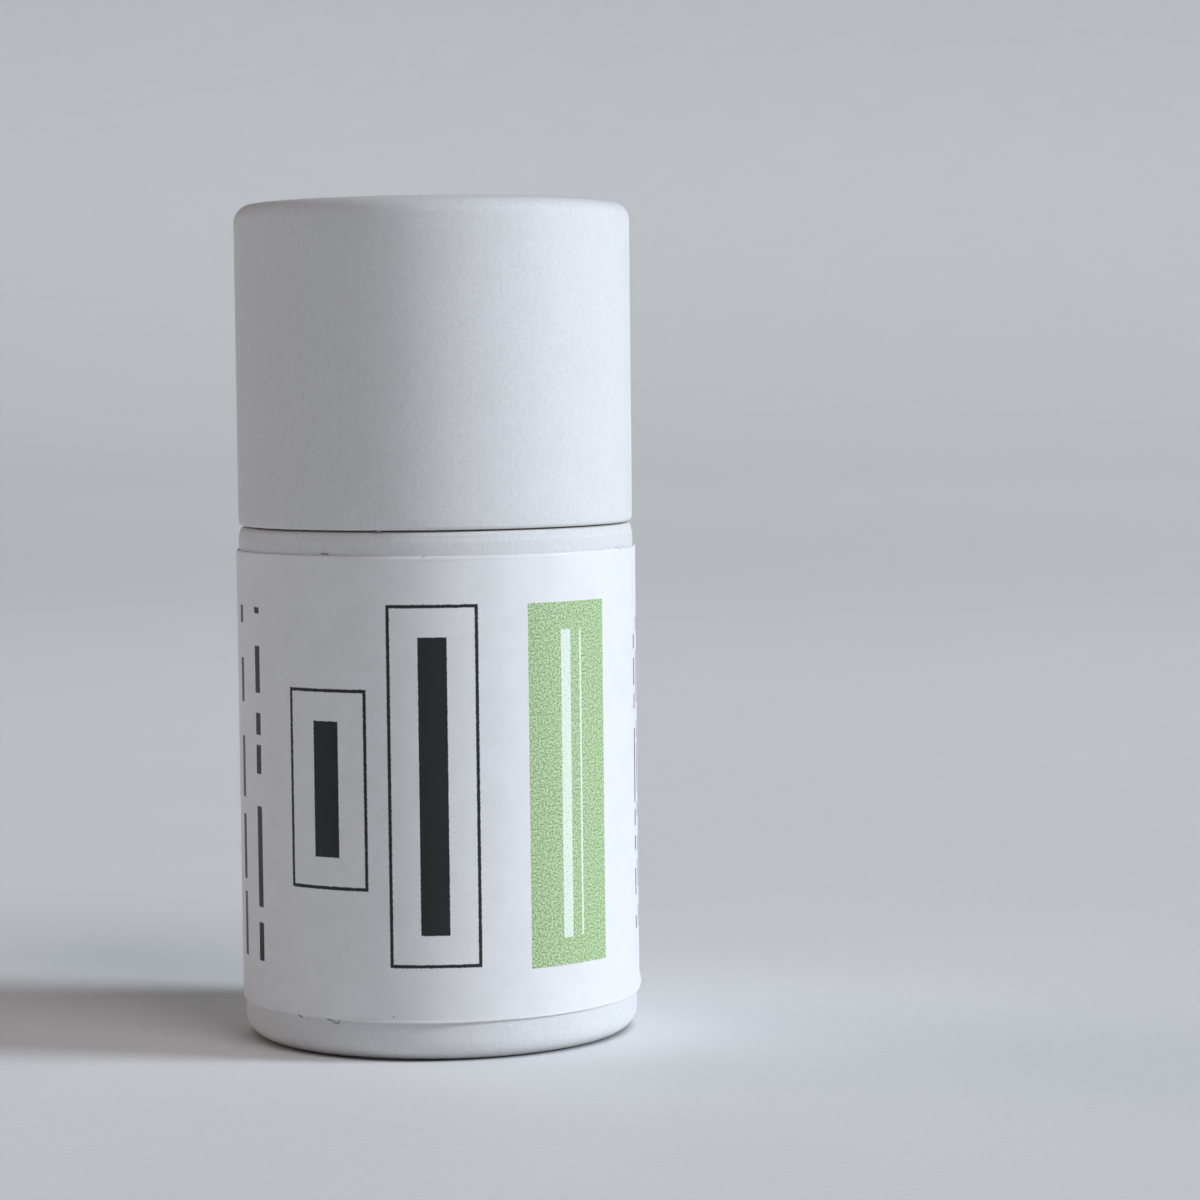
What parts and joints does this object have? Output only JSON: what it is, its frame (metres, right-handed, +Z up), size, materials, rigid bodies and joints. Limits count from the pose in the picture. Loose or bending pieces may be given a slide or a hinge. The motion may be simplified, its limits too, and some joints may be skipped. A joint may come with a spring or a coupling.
{
  "type": "lip balm stick",
  "caption": "Push-up lip balm stick: a round paper tube with a slip-on cap, rolled rims, a wrap-around label, a lined neck and a push-up cup that carries the balm.",
  "frame": {"origin": "centre of the rolled bottom rim, on the plane that the tube stands on", "axes": "+Z up the tube's axis to the cap, -Y out of the front of the label, +X to the right seen from the front"},
  "size_m": [0.0244, 0.0245, 0.0505],
  "materials": {
    "outer_paper": "matte white wrapping paper",
    "wound_board": "uncoated wound board",
    "greaseproof": "satin greaseproof paper",
    "label_paper": "satin white label paper, printed",
    "balm": "waxy, slightly translucent"
  },
  "bodies": {
    "base": {"base_tube": "wound_board", "base_wrap": "outer_paper", "neck_tube": "wound_board", "neck_wrap": "outer_paper", "neck_liner": "greaseproof", "label": "label_paper"},
    "cup": {"push_skirt": "wound_board", "push_disc": "wound_board", "push_facing": "greaseproof", "balm": "balm"},
    "cap": {"cap_tube": "wound_board", "cap_wrap": "outer_paper", "cap_liner": "greaseproof", "cap_disc": "wound_board", "cap_disc_paper": "outer_paper", "cap_seal": "greaseproof"}
  },
  "joints": [
    {"name": "push_up", "type": "slide", "parent": "base", "child": "cup", "axis": [0, 0, 1], "range_m": [0, 0.0318]},
    {"name": "cap_pull", "type": "slide", "parent": "cup", "child": "cap", "axis": [0, 0, 1], "range_m": [0, 0.025]}
  ]
}
